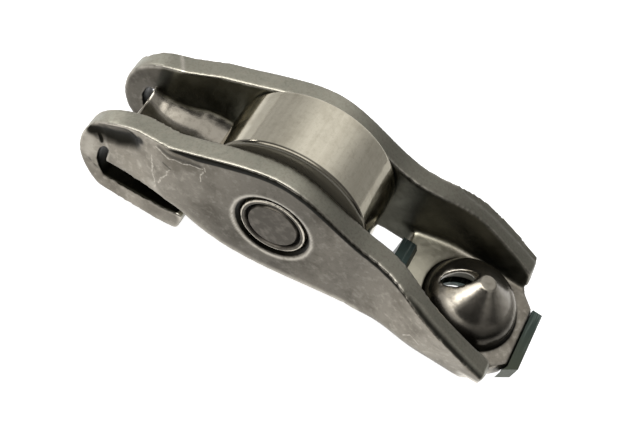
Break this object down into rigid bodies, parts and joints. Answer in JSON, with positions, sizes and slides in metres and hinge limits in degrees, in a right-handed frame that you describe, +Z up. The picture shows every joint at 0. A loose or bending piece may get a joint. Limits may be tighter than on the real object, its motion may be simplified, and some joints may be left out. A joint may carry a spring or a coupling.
{
  "type": "rocker arm",
  "caption": "Pressed steel roller finger follower: a channel-shaped arm with a cam roller on needles, a ball socket dome with a retaining clip, and a guided valve pad.",
  "frame": {"origin": "centre of the cam roller, on the pin's axis and in the arm's middle plane", "axes": "+X towards the pivot end, +Y along the roller's axis, +Z up, square to the web that carries the pivot dome"},
  "size_m": [0.0507, 0.0174, 0.0204],
  "materials": {
    "pressed_steel": "tumbled, hardened and tempered sheet steel",
    "ground_steel": "ground and fine polished bearing steel",
    "pin_steel": "turned bearing steel, ends staked",
    "blued_spring_steel": "dark tempered spring steel"
  },
  "bodies": {
    "arm": {"arm_body": "pressed_steel", "roller_pin": "pin_steel", "retaining_clip": "blued_spring_steel"},
    "roller": {"cam_roller": "ground_steel"},
    "needle_row": {"needle_roller_01": "ground_steel", "needle_roller_02": "ground_steel", "needle_roller_03": "ground_steel", "needle_roller_04": "ground_steel", "needle_roller_05": "ground_steel", "needle_roller_06": "ground_steel", "needle_roller_07": "ground_steel", "needle_roller_08": "ground_steel", "needle_roller_09": "ground_steel", "needle_roller_10": "ground_steel", "needle_roller_11": "ground_steel", "needle_roller_12": "ground_steel", "needle_roller_13": "ground_steel", "needle_roller_14": "ground_steel", "needle_roller_15": "ground_steel", "needle_roller_16": "ground_steel"}
  },
  "joints": [
    {"name": "roller_spin", "type": "hinge", "parent": "arm", "child": "roller", "pos_m": [0, 0, 0], "axis": [0, 1, 0], "continuous": true},
    {"name": "needle_orbit", "type": "hinge", "parent": "arm", "child": "needle_row", "pos_m": [0, 0, 0], "axis": [0, 1, 0], "continuous": true}
  ],
  "couplings": [
    {"joint": "needle_orbit", "follows": "roller_spin", "ratio": 0.5973}
  ]
}
